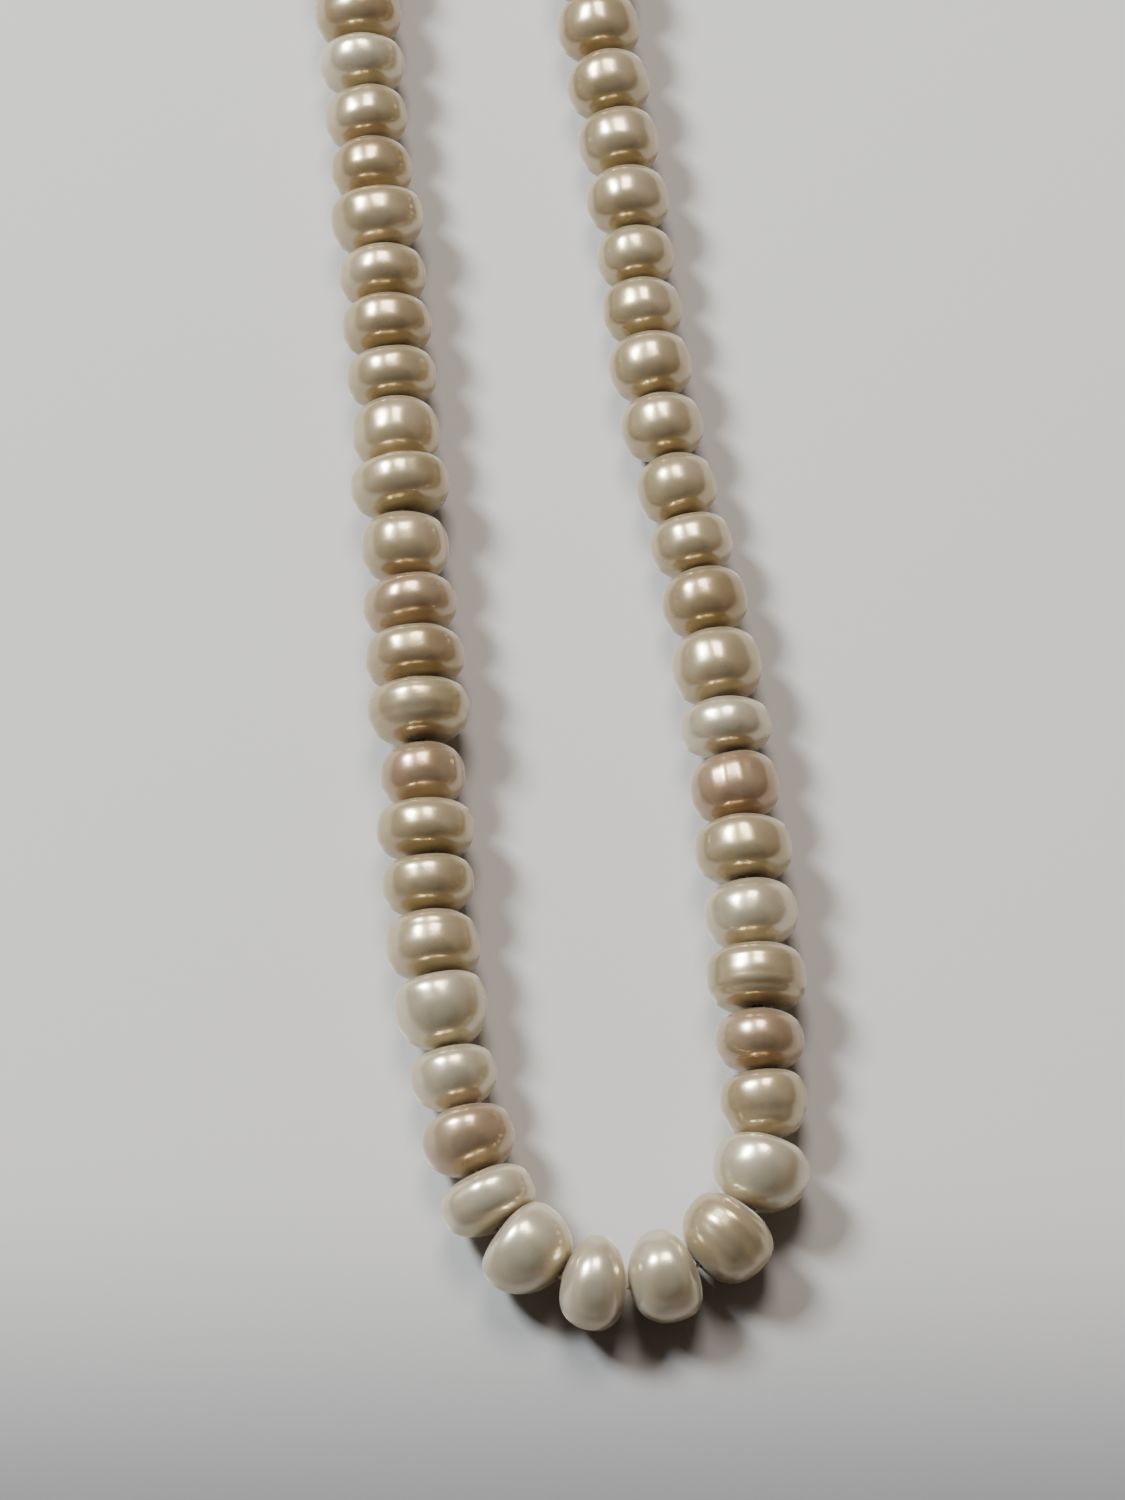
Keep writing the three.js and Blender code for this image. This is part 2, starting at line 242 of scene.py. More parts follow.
def bump_node(tree, height, distance, strength):
    """A normal that a height pattern roughens. Distance is in metres."""
    bump = tree.nodes.new("ShaderNodeBump")
    bump.inputs["Distance"].default_value = distance
    bump.inputs["Strength"].default_value = strength
    tree.links.new(height, bump.inputs["Height"])
    return bump.outputs["Normal"]


def along_node(tree, axis, start, end):
    """A share that rises from 0 to 1 between two places on an axis of the object."""
    where = tree.nodes.new("ShaderNodeTexCoord")
    split = tree.nodes.new("ShaderNodeSeparateXYZ")
    share = tree.nodes.new("ShaderNodeMapRange")
    share.interpolation_type = "SMOOTHSTEP"
    share.inputs["From Min"].default_value = start
    share.inputs["From Max"].default_value = end
    tree.links.new(where.outputs["Object"], split.inputs[0])
    tree.links.new(split.outputs[axis], share.inputs["Value"])
    return share.outputs["Result"]


def speck_node(tree, scale, size, rarity):
    """1 in a few small round spots. Size is a share of the spacing; rarity is the share of spots left out."""
    where = tree.nodes.new("ShaderNodeTexCoord")
    cells = tree.nodes.new("ShaderNodeTexVoronoi")
    cells.inputs["Scale"].default_value = scale
    spot = tree.nodes.new("ShaderNodeMapRange")
    spot.interpolation_type = "SMOOTHSTEP"
    spot.inputs["From Min"].default_value = size
    spot.inputs["From Max"].default_value = size * 0.5
    chosen = tree.nodes.new("ShaderNodeMath")
    chosen.operation = "GREATER_THAN"
    chosen.inputs[1].default_value = rarity
    both = tree.nodes.new("ShaderNodeMath")
    both.operation = "MULTIPLY"
    tree.links.new(where.outputs["Object"], cells.inputs["Vector"])
    tree.links.new(cells.outputs["Distance"], spot.inputs["Value"])
    tree.links.new(cells.outputs["Color"], chosen.inputs[0])
    tree.links.new(spot.outputs["Result"], both.inputs[0])
    tree.links.new(chosen.outputs[0], both.inputs[1])
    return both.outputs[0]


table_bm = bmesh.new()
bmesh.ops.create_grid(table_bm, x_segments=1, y_segments=1, size=TABLE_HALF)
table_material, tree, shader = material_nodes("table_top")
shader.inputs["Roughness"].default_value = 0.75
shader.inputs["Specular IOR Level"].default_value = 0.25
# Painted shadow: the table's colour darkens from beyond the strand's foot to just before it, and pales again
# farther along the near side.
outside_painted_shadow = tree.nodes.new("ShaderNodeMath")
outside_painted_shadow.operation = "MAXIMUM"
painted_shadow_darkest_y = foot.y - PAINTED_SHADOW_DARKEST
tree.links.new(along_node(tree, "Y", painted_shadow_darkest_y, foot.y + PAINTED_SHADOW_START), outside_painted_shadow.inputs[0])
tree.links.new(along_node(tree, "Y", painted_shadow_darkest_y, foot.y - PAINTED_SHADOW_END), outside_painted_shadow.inputs[1])
table_colour_and_painted_shadow = ramp_node(
    tree,
    outside_painted_shadow.outputs[0],
    (0.0, TABLE_PAINTED_SHADOW_COLOUR),
    (1.0, TABLE_COLOUR),
)
tree.links.new(table_colour_and_painted_shadow, shader.inputs["Base Color"])
grain = bump_node(tree, noise_node(tree, scale=2500, detail=4), distance=0.04 * MM, strength=0.15)
tree.links.new(grain, shader.inputs["Normal"])
table = finished("table", table_bm, table_material)
table.rotation_euler.z = -HEADING


# Pearls
# Freshwater button pearls: a satin skin of nacre over nacre right through, cream to white, some of them
# champagne or rose. Each is drilled through its short way and strung, and nearly touches its neighbours.

PEARL_ROUND = 72  # mesh steps round a pearl
PEARL_RISE = 48  # mesh steps from hole to hole
PEARL_GAP = 0.18 * MM
BEND_GAP = 0.26 * MM
BEND_PEARLS = range(22, 28)
BORE_RADIUS = 0.42 * MM
BORE_RIM = 0.10 * MM
TILT = math.radians(2.5)  # how far a pearl sits askew on the thread
TILT_STEPS = (2.7, 4.1)  # from pearl to pearl, sideways and up, so that no order shows
LUMPS_PER_METRE = 260
LUMP_HEIGHT = 0.11  # millimetres
RIPPLES_PER_METRE = 620
RIPPLE_HEIGHT = 0.045  # millimetres
LUMP_STEPS = (7.3, 3.1, 5.7)  # from pearl to pearl through the pattern of lumps

# From the top of the left arm round to the top of the right arm. For each pearl: diameter in
# millimetres; how square its edge is, where 2 is round; how far its widest ring leans outwards along
# the arm, as a share of half its length; and its nacre.
STRAND = (
    (6.9, 2.7, 0.0, "champagne"),
    (6.8, 2.6, 0.1, "white"),
    (6.5, 2.7, 0.0, "ivory"),
    (6.5, 2.7, 0.0, "champagne"),
    (7.3, 2.8, 0.1, "ivory"),
    (6.8, 2.7, 0.0, "ivory"),
    (7.0, 2.8, 0.0, "champagne"),
    (6.9, 2.8, 0.0, "ivory"),
    (6.7, 2.9, 0.0, "ivory"),
    (7.6, 2.9, 0.1, "ivory"),
    (6.8, 2.7, 0.0, "ivory"),
    (7.1, 2.6, 0.0, "rose"),
    (7.6, 2.9, 0.0, "champagne"),
    (7.8, 2.7, 0.15, "ivory"),
    (6.4, 2.6, 0.0, "rose"),
    (7.3, 2.9, 0.0, "ivory"),
    (6.9, 2.7, 0.1, "ivory"),
    (7.0, 2.9, 0.0, "ivory"),
    (6.9, 2.6, 0.25, "white"),
    (6.4, 2.4, 0.15, "white"),
    (6.8, 2.4, 0.1, "rose"),
    (7.1, 2.6, 0.0, "white"),
    (7.0, 2.4, 0.25, "white"),
    (7.0, 2.3, 0.0, "white"),
    (6.9, 2.4, 0.1, "white"),
    (7.0, 2.4, 0.15, "ivory"),
    (7.1, 2.4, 0.2, "white"),
    (6.4, 2.4, 0.2, "ivory"),
    (6.6, 2.4, 0.0, "rose"),
    (7.4, 3.0, 0.0, "ivory"),
    (6.9, 2.5, 0.0, "white"),
    (7.3, 3.0, 0.0, "ivory"),
    (6.7, 2.7, 0.0, "rose"),
    (6.9, 2.6, 0.0, "white"),
    (6.8, 2.8, 0.0, "ivory"),
    (6.5, 2.6, 0.0, "champagne"),
    (6.3, 2.7, 0.0, "ivory"),
    (6.1, 2.6, 0.0, "ivory"),
    (6.4, 2.5, 0.0, "ivory"),
    (6.5, 2.6, 0.0, "ivory"),
    (6.2, 2.8, 0.0, "ivory"),
    (6.1, 2.6, 0.0, "ivory"),
    (6.5, 2.6, 0.0, "ivory"),
    (6.4, 2.7, 0.0, "ivory"),
    (6.6, 2.6, 0.0, "ivory"),
    (6.6, 2.7, 0.0, "champagne"),
)

# Marks of growth on some pearls, by their number. For each mark: its place along the bore from -1 to 1,
# outwards; its angle round the pearl from the top, in degrees towards the right of the strand; its
# spread along and round; and its height in millimetres, below zero for a groove.
ALL_ROUND = 400
MARKS = {
    10: ((0.0, 15, 0.8, 6, -0.06),),
    14: ((-0.3, 0, 0.10, ALL_ROUND, -0.05), (0.25, 0, 0.09, ALL_ROUND, -0.04)),
    18: ((0.2, 0, 0.10, 70, -0.06),),
    22: ((0.0, -55, 0.5, 12, 0.14), (0.1, -30, 0.5, 14, -0.08)),
    26: ((0.35, 20, 0.10, 60, -0.07), (0.0, 25, 0.09, 60, -0.06), (-0.35, 30, 0.10, 60, -0.07)),
    28: ((-0.75, 0, 0.16, ALL_ROUND, 0.12), (-0.45, 0, 0.12, ALL_ROUND, -0.06)),
    30: (
        (-0.75, 0, 0.12, ALL_ROUND, 0.10),
        (-0.50, 0, 0.09, ALL_ROUND, -0.08),
        (-0.15, 0, 0.07, 80, -0.04),
        (0.10, 0, 0.07, 80, -0.04),
    ),
    33: ((0.1, -24, 0.6, 5, -0.05), (0.0, -6, 0.6, 5, -0.05), (0.1, 14, 0.6, 5, -0.05)),
    38: ((0.6, 35, 0.15, 30, -0.12),),
}
# Egg-shaped pearls, by number: how much thicker they get towards their right side.
EGGS = {23: 0.10, 24: 0.20, 25: 0.16, 26: 0.10}

# Nacre: the colour of its body in its paler and deeper places.
NACRE_COLOURS = {
    "white": ((0.58, 0.515, 0.38, 1), (0.48, 0.415, 0.28, 1)),
    "ivory": ((0.48, 0.395, 0.255, 1), (0.39, 0.31, 0.18, 1)),
    "champagne": ((0.42, 0.33, 0.20, 1), (0.34, 0.25, 0.14, 1)),
    "rose": ((0.42, 0.32, 0.21, 1), (0.34, 0.23, 0.14, 1)),
}
# The dark colour of the pinpricks is painted shade, for pits that the mesh doesn't have.
PINPRICK_PAINTED_SHADE = (0.10, 0.06, 0.03, 1)


def nacre(name, pale, deep):
    """Layered nacre: a metal-like lustre in the depth, under a clear, smoother skin."""
    material, tree, shader = material_nodes(f"nacre_{name}")
    body = ramp_node(tree, noise_node(tree, scale=230, detail=3), (0.36, pale), (0.64, deep))
    # Now and then a pinprick where the skin didn't close. The pit is not cut into the mesh, so a dark speck
    # of painted shade stands for it.
    pinprick_shade = speck_node(tree, scale=330, size=0.05, rarity=0.86)
    skin_and_pinprick_shade = colour_mix(tree, pinprick_shade)
    skin_and_pinprick_shade.inputs[SECOND_COLOUR].default_value = PINPRICK_PAINTED_SHADE
    tree.links.new(body, skin_and_pinprick_shade.inputs[FIRST_COLOUR])
    tree.links.new(skin_and_pinprick_shade.outputs[MIXED_COLOUR], shader.inputs["Base Color"])
    gloss = tree.nodes.new("ShaderNodeMapRange")
    gloss.inputs["To Min"].default_value = 0.20
    gloss.inputs["To Max"].default_value = 0.31
    patches = noise_node(tree, scale=420, detail=3, offset=(0.3, 0.1, 0.2))
    tree.links.new(patches, gloss.inputs["Value"])
    tree.links.new(gloss.outputs["Result"], shader.inputs["Roughness"])
    grain = noise_node(tree, scale=700, detail=5, roughness=0.6)
    skin = bump_node(tree, grain, distance=0.05 * MM, strength=0.35)
    tree.links.new(skin, shader.inputs["Normal"])
    shader.inputs["Metallic"].default_value = 0.62
    shader.inputs["IOR"].default_value = 1.6
    shader.inputs["Subsurface Weight"].default_value = 0.6
    shader.inputs["Subsurface Radius"].default_value = (1.0, 0.6, 0.35)
    shader.inputs["Subsurface Scale"].default_value = 1.5 * MM
    shader.inputs["Specular Tint"].default_value = (0.80, 0.68, 0.50, 1)
    shader.inputs["Sheen Weight"].default_value = 0.5
    shader.inputs["Sheen Roughness"].default_value = 0.35
    shader.inputs["Sheen Tint"].default_value = (1.0, 0.91, 0.76, 1)
    shader.inputs["Coat Weight"].default_value = 0.6
    shader.inputs["Coat Roughness"].default_value = 0.1
    shader.inputs["Coat IOR"].default_value = 1.55
    return material


nacres = {name: nacre(name, *colours) for name, colours in NACRE_COLOURS.items()}

gap_points = {}
for joint in frame["joints"]:
    if joint["name"].startswith("gap_"):
        point = Vector(joint["pos_m"])
        gap_points.setdefault(joint["parent"], []).append(point)
        gap_points.setdefault(joint["child"], []).insert(0, point)


def bowed(value, power):
    """value to a power, keeping its sign."""
    return math.copysign(abs(value) ** power, value)


TURN = 360
HALF_TURN = 180


def mark_height(along, angle, marks):
    """How far the marks raise the skin at a place on a pearl."""
    height = 0
    for place, turned, spread_along, spread_round, peak in marks:
        from_turn = (angle - turned + HALF_TURN) % TURN - HALF_TURN
        height += peak * math.exp(-(((along - place) / spread_along) ** 2) - (from_turn / spread_round) ** 2)
    return height * MM


POLE = 0.99999  # only a unit ball's two poles lie beyond this share of its radius


def pearl_bmesh(diameter, length, squareness, lean, seed, marks=(), egg=0.0):
    """A drilled pearl about the origin, with its bore along Y."""
    bm = bmesh.new()
    bmesh.ops.create_uvsphere(bm, u_segments=PEARL_ROUND, v_segments=PEARL_RISE, radius=1)
    bmesh.ops.rotate(bm, verts=bm.verts, matrix=Matrix.Rotation(QUARTER_TURN, 3, "X"))
    poles = [v for v in bm.verts if abs(v.co.y) > POLE]
    bmesh.ops.delete(bm, geom=poles, context="VERTS")
    shift = Vector([seed * step for step in LUMP_STEPS])
    for v in bm.verts:
        along = v.co.y
        out = math.hypot(v.co.x, v.co.z)
        wide = bowed(out, 2 / squareness) / out
        deep = bowed(along, 2 / squareness) * (1 + egg * v.co.x)
        place = Vector(
            (
                v.co.x * wide * diameter / 2,
                (deep + lean * out**2) * length / 2,
                v.co.z * wide * diameter / 2,
            )
        )
        lump = noise.noise(place * LUMPS_PER_METRE + shift) * LUMP_HEIGHT
        lump += noise.noise(place * RIPPLES_PER_METRE + shift) * RIPPLE_HEIGHT
        angle = math.degrees(math.atan2(v.co.x, v.co.z))
        v.co = place + v.co * (lump * MM + mark_height(along, angle, marks))
    for side in (1, -1):
        rim = [e for e in bm.edges if e.is_boundary and e.verts[0].co.y * side > 0]
        edge = rim
        for radius, inward in ((BORE_RADIUS + BORE_RIM, 0), (BORE_RADIUS, BORE_RIM)):
            made = bmesh.ops.extrude_edge_only(bm, edges=edge)["geom"]
            edge = [g for g in made if isinstance(g, bmesh.types.BMEdge)]
            for v in {v for e in edge for v in e.verts}:
                out = math.hypot(v.co.x, v.co.z)
                v.co.x *= radius / out
                v.co.z *= radius / out
                v.co.y -= inward * side
    bmesh.ops.bridge_loops(bm, edges=[e for e in bm.edges if e.is_boundary])
    bmesh.ops.recalc_face_normals(bm, faces=bm.faces)
    return bm


def strand_turn(middle, outwards):
    """The place of a piece that is made along Y and belongs along the strand at a point."""
    across = outwards.cross(Vector((0, 0, 1)))
    turn = Matrix((across, outwards, Vector((0, 0, 1)))).transposed().to_4x4()
    turn.translation = middle
    return turn


def lay_pearl(name, body, inner, outer, height, gap, shape, nacre_name, seed):
    """Makes a pearl between two points of the thread and lets it ride on a body."""
    marks, egg = MARKS.get(seed, ()), EGGS.get(seed, 0.0)
    diameter, squareness, lean = shape
    outwards = Vector((outer.x - inner.x, outer.y - inner.y, 0))
    length = outwards.length - gap
    outwards.normalize()
    bm = pearl_bmesh(diameter, length, squareness, lean, seed, marks, egg)
    sideways, upwards = (TILT * math.sin(seed * step) for step in TILT_STEPS)
    askew = Matrix.Rotation(sideways, 4, "Z")
    askew @= Matrix.Rotation(upwards, 4, "X")
    middle = (inner + outer) / 2
    bm.transform(strand_turn(Vector((middle.x, middle.y, height)), outwards) @ askew)
    pearl = finished(name, bm, nacres[nacre_name])
    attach(pearl, body)
    return pearl


for number, (diameter, squareness, lean, nacre_name) in enumerate(STRAND, 1):
    node = f"pearl_{number:02d}"
    inner, outer = gap_points[node]
    pearl = lay_pearl(
        f"{node}_nacre",
        node,
        inner,
        outer,
        diameter * MM / 2,
        BEND_GAP if number in BEND_PEARLS else PEARL_GAP,
        (diameter * MM, squareness, lean),
        nacre_name,
        number,
    )
    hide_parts(node)


# Pearls beyond the arms' tops
# More of the same pearls lead to the clasp on each side. Each stretch that is one node in the frame is
# made as the separate pearls that it holds, outwards.

RUN_PEARLS = {
    "left_run_1": "bsbwbtsbl",
    "left_run_2": "blsbbtbs",
    "right_run_1": "lbsblwblb",
    "right_run_2": "sblbotbs",
}
PEARL_KINDS = {
    "b": (7.1, 4.6, 2.7),
    "w": (7.5, 4.5, 2.8),
    "t": (7.2, 4.1, 2.8),
    "s": (6.4, 4.4, 2.6),
    "l": (6.9, 5.0, 2.6),
    "o": (6.5, 4.9, 2.5),
}
RUN_GAP = 0.3 * MM
RUN_LEAN = 0.1
RUN_LEAN_STEP = 2.4  # from pearl to pearl, so that no order shows
RUN_NACRES = ("ivory", "white", "ivory", "champagne", "ivory", "rose", "white")

seed = len(STRAND)
for node, letters in RUN_PEARLS.items():
    inner, outer = gap_points[node]
    outwards = Vector((outer.x - inner.x, outer.y - inner.y, 0)).normalized()
    low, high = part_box(node)
    axis_height = (low.z + high.z) / 2
    at = inner.copy()
    for place, letter in enumerate(letters, 1):
        diameter, length, squareness = PEARL_KINDS[letter]
        reach = at + outwards * (length * MM + RUN_GAP)
        seed += 1
        pearl = lay_pearl(
            f"{node}_pearl_{place}",
            node,
            at,
            reach,
            axis_height,
            PEARL_GAP,
            (diameter * MM, squareness, RUN_LEAN * math.sin(seed * RUN_LEAN_STEP)),
            RUN_NACRES[seed % len(RUN_NACRES)],
            seed,
        )
        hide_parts(node)
        at = reach


# Stringing thread
# One length of twisted three-ply thread runs through every pearl and ends in a knot in each bead tip.
# It bends at every gap, so it is made in lengths from the middle of one bore to the middle of the next.

THREAD_RADIUS = 0.15 * MM
THREAD_SECTION = 12  # mesh steps round the thread
THREAD_PLIES = 3
PLY_DEPTH = 0.14  # how deep the grooves between the plies are, as a share of the radius
TWIST_LENGTH = 1.1 * MM  # along the thread, for one whole turn
TWIST_STEPS = 10  # mesh steps in one turn
BEND_HALF = 0.3 * MM  # how far to each side of a gap's middle the thread bends
FEWEST_STEPS = 4
KNOT_RADIUS = 0.7 * MM
KNOT_SECTION = 10  # mesh steps round the thread in a knot
KNOT_STEPS = 28  # mesh steps along one turn of a knot
KNOT_LEANS = (0, 62, -62)  # degrees, for each turn of a knot
KNOT_TIGHTER = 0.12  # millimetres that each turn is smaller than the one before
TIP_REACH = 2.1 * MM  # from a strand's end to the middle of the bead tip's shell
TIP_HEIGHT = 1.7 * MM

thread_material, tree, shader = material_nodes("stringing_thread")
fibres = ramp_node(
    tree,
    noise_node(tree, scale=5200, detail=3),
    (0.3, (0.60, 0.46, 0.22, 1)),
    (0.7, (0.78, 0.66, 0.40, 1)),
)
tree.links.new(fibres, shader.inputs["Base Color"])
fluff = bump_node(tree, noise_node(tree, scale=9000, detail=3), distance=0.02 * MM, strength=0.5)
tree.links.new(fluff, shader.inputs["Normal"])
shader.inputs["Roughness"].default_value = 0.85
shader.inputs["Sheen Weight"].default_value = 0.3

tip_centres = {}
tip_directions = {}
for side, ring_joint in (("left", "catch_ring_turn"), ("right", "claw_ring_turn")):
    strand_end = gap_points[f"{side}_tip"][0]
    loop_centre = next(Vector(j["pos_m"]) for j in frame["joints"] if j["name"] == ring_joint)
    direction = Vector((loop_centre.x - strand_end.x, loop_centre.y - strand_end.y, 0)).normalized()
    tip_directions[side] = direction
    centre = strand_end + direction * TIP_REACH
    tip_centres[side] = Vector((centre.x, centre.y, TIP_HEIGHT))


def bore_middle(body):
    """Where the thread is halfway through a body, or its knot in a bead tip."""
    side = body.removesuffix("_tip")
    if side in tip_centres:
        return tip_centres[side]
    inner, outer = gap_points[body]
    return (inner + outer) / 2


def thread_bmesh(start, corner, end):
    """A twisted thread from start to end, with a smooth bend at the corner."""
    first, second = corner - start, end - corner
    length = first.length + second.length
    turns = length / TWIST_LENGTH
    bm = bmesh.new()
    bmesh.ops.create_circle(bm, segments=THREAD_SECTION, radius=THREAD_RADIUS)
    for v in bm.verts:
        ply = math.cos(THREAD_PLIES * math.atan2(v.co.y, v.co.x))
        v.co *= 1 - PLY_DEPTH * (1 - ply) / 2
    steps = max(FEWEST_STEPS, round(turns * TWIST_STEPS))
    bmesh.ops.spin(
        bm,
        geom=bm.edges[:],
        axis=(0, 0, 1),
        dvec=(0, 0, length / steps),
        angle=math.tau * turns,
        steps=steps,
    )
    bmesh.ops.holes_fill(bm, edges=[e for e in bm.edges if e.is_boundary])
    side = first.cross(Vector((0, 0, 1))).normalized()
    for v in bm.verts:
        past = v.co.z - first.length
        share = min(max(past / BEND_HALF / 2 + 0.5, 0), 1)
        direction = first.normalized().lerp(second.normalized(), share).normalized()
        across = (side - direction * side.dot(direction)).normalized()
        up = across.cross(direction)
        on_line = corner + (first if past < 0 else second).normalized() * past
        v.co = on_line + across * v.co.x + up * v.co.y
    bmesh.ops.recalc_face_normals(bm, faces=bm.faces)
    return bm


for joint in frame["joints"]:
    if not joint["name"].startswith("gap_"):
        continue
    corner = Vector(joint["pos_m"])
    start, end = bore_middle(joint["parent"]), bore_middle(joint["child"])
    length_name = joint["name"].rsplit("_", 1)[0].replace("gap", "thread_at")
    piece = finished(length_name, thread_bmesh(start, corner, end), thread_material)
    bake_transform(piece)
    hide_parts("stringing_thread")

for side, centre in tip_centres.items():
    # A double overhand knot: three turns of the thread drawn together, round each other.
    knot_bm = bmesh.new()
    for turn, lean in enumerate(KNOT_LEANS):
        made = bmesh.ops.create_circle(knot_bm, segments=KNOT_SECTION, radius=THREAD_RADIUS)["verts"]
        turn_radius = KNOT_RADIUS - THREAD_RADIUS - KNOT_TIGHTER * turn * MM
        bmesh.ops.translate(knot_bm, verts=made, vec=(turn_radius, 0, 0))
        loop = list({e for v in made for e in v.link_edges})
        before = set(knot_bm.verts) - set(made)
        bmesh.ops.rotate(knot_bm, verts=made, matrix=Matrix.Rotation(QUARTER_TURN, 3, "X"))
        bmesh.ops.spin(
            knot_bm, geom=loop, axis=(0, 0, 1), angle=math.tau, steps=KNOT_STEPS, use_merge=True
        )
        ring = [v for v in knot_bm.verts if v not in before]
        bmesh.ops.rotate(knot_bm, verts=ring, matrix=Matrix.Rotation(math.radians(lean), 3, "Y"))
    bmesh.ops.recalc_face_normals(knot_bm, faces=knot_bm.faces)
    bmesh.ops.translate(knot_bm, verts=knot_bm.verts, vec=centre)
    knot = finished(f"thread_knot_{side}", knot_bm, thread_material)
    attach(knot, f"{side}_tip")
    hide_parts("stringing_thread")


# Bead tips
# Each end knot sits in a clamshell of thin silver: two cups pressed shut over it, with a small hole for
# the thread and a wire loop beyond them that holds a ring.

SHELL_RADIUS = 1.5 * MM
SHELL_WALL = 0.25 * MM
SHELL_SEAM = 0.05 * MM
SHELL_HOLE = 0.4 * MM
LOOP_RADIUS = 1.0 * MM
LOOP_WIRE = 0.25 * MM
LOOP_REACH = 2.5 * MM  # from the shell's middle to the loop's
LOOP_DROP = 0.2 * MM
LOOP_BENT = 352  # degrees of a turn that the loop's wire goes round
WIRE_SECTION = 16  # mesh steps round a wire
CUP_ROUND = 48  # mesh steps round a cup
CUP_RISE = 40  # mesh steps over it

silver_material, tree, shader = material_nodes("silver")
tarnish = ramp_node(
    tree,
    noise_node(tree, scale=600, detail=4, roughness=0.6),
    (0.35, (0.62, 0.60, 0.56, 1)),
    (0.60, (0.83, 0.82, 0.80, 1)),
)
tree.links.new(tarnish, shader.inputs["Base Color"])
polish = tree.nodes.new("ShaderNodeMapRange")
polish.inputs["To Min"].default_value = 0.12
polish.inputs["To Max"].default_value = 0.34
tree.links.new(noise_node(tree, scale=1500, detail=4, roughness=0.65), polish.inputs["Value"])
tree.links.new(polish.outputs["Result"], shader.inputs["Roughness"])
scratches = noise_node(tree, scale=2600, detail=4, roughness=0.6)
scratched = bump_node(tree, scratches, distance=0.02 * MM, strength=0.3)
tree.links.new(scratched, shader.inputs["Normal"])
shader.inputs["Metallic"].default_value = 1.0


def edge_loop(verts):
    """The edges that meet at any of the vertices."""
    return list({e for v in verts for e in v.link_edges})


def ring_wire(bm, radius, wire, degrees_round, sections=40):
    """A round wire bent into a ring about Z, open by what is left of the turn at +Y, with closed ends."""
    made = bmesh.ops.create_circle(bm, segments=WIRE_SECTION, radius=wire)["verts"]
    bmesh.ops.rotate(bm, verts=made, matrix=Matrix.Rotation(QUARTER_TURN, 3, "X"))
    bmesh.ops.translate(bm, verts=made, vec=(radius, 0, 0))
    opening = QUARTER_TURN + math.radians((TURN - degrees_round) / 2)
    bmesh.ops.rotate(bm, verts=made, matrix=Matrix.Rotation(opening, 3, "Z"))
    bmesh.ops.spin(
        bm, geom=edge_loop(made), axis=(0, 0, 1), angle=math.radians(degrees_round), steps=sections
    )
    bmesh.ops.holes_fill(bm, edges=[e for e in bm.edges if e.is_boundary])


for side, centre in tip_centres.items():
    tip_bm = bmesh.new()
    ring_wire(tip_bm, LOOP_RADIUS, LOOP_WIRE, LOOP_BENT)
    bmesh.ops.rotate(tip_bm, verts=tip_bm.verts, matrix=Matrix.Rotation(math.pi, 3, "Z"))
    bmesh.ops.translate(tip_bm, verts=tip_bm.verts, vec=(0, LOOP_REACH, -LOOP_DROP))
    for upright in (1, -1):
        cup = bmesh.new()
        bmesh.ops.create_uvsphere(
            cup, u_segments=CUP_ROUND, v_segments=CUP_RISE, radius=SHELL_RADIUS - SHELL_WALL
        )
        bmesh.ops.rotate(cup, verts=cup.verts, matrix=Matrix.Rotation(QUARTER_TURN, 3, "X"))
        near_hole = [v for v in cup.verts if v.co.y < 0 and math.hypot(v.co.x, v.co.z) < SHELL_HOLE]
        bmesh.ops.delete(cup, geom=near_hole, context="VERTS")
        bmesh.ops.bisect_plane(
            cup,
            geom=cup.verts[:] + cup.edges[:] + cup.faces[:],
            plane_co=(0, 0, SHELL_SEAM / 2),
            plane_no=(0, 0, 1),
            clear_inner=True,
        )
        bmesh.ops.solidify(cup, geom=cup.faces[:], thickness=-SHELL_WALL)
        if upright < 0:
            bmesh.ops.scale(cup, verts=cup.verts, vec=(1, 1, -1))
            bmesh.ops.reverse_faces(cup, faces=cup.faces)
        cup_mesh = bpy.data.meshes.new("cup")
        cup.to_mesh(cup_mesh)
        cup.free()
        tip_bm.from_mesh(cup_mesh)
        bpy.data.meshes.remove(cup_mesh)
    tip_bm.transform(strand_turn(centre, tip_directions[side]))
    bead_tip = finished(f"bead_tip_{side}_shell", tip_bm, silver_material)
    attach(bead_tip, f"{side}_tip")
    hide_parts(f"bead_tip_{side}")


# Connecting rings
# A jump ring of silver wire, bent shut, stands on edge through each bead tip's loop.

RING_RADIUS = 2.0 * MM
RING_WIRE = 0.35 * MM
RING_BENT = 358  # degrees of a turn that a ring's wire goes round
RING_STEPS = 72  # mesh steps round a ring
RING_SEAM = 64  # degrees round the ring to where its ends meet

ring_centres = {}
for side, node in (("left", "catch_ring"), ("right", "claw_ring")):
    low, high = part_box(node)
    ring_centres[side] = (low + high) / 2
    ring_bm = bmesh.new()
    ring_wire(ring_bm, RING_RADIUS, RING_WIRE, RING_BENT, sections=RING_STEPS)
    bmesh.ops.rotate(ring_bm, verts=ring_bm.verts, matrix=Matrix.Rotation(QUARTER_TURN, 3, "Y"))
    seam = Matrix.Rotation(math.radians(RING_SEAM), 3, "X")
    bmesh.ops.rotate(ring_bm, verts=ring_bm.verts, matrix=seam)
    ring_bm.transform(strand_turn(ring_centres[side], tip_directions[side]))
    ring = finished(f"{node}_wire", ring_bm, silver_material)
    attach(ring, node)
    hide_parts(node)


# Catch tag
# A drop-shaped plate stamped from silver sheet, its edges tumbled round. The small hole hangs on its
# ring and the large one takes the claw.

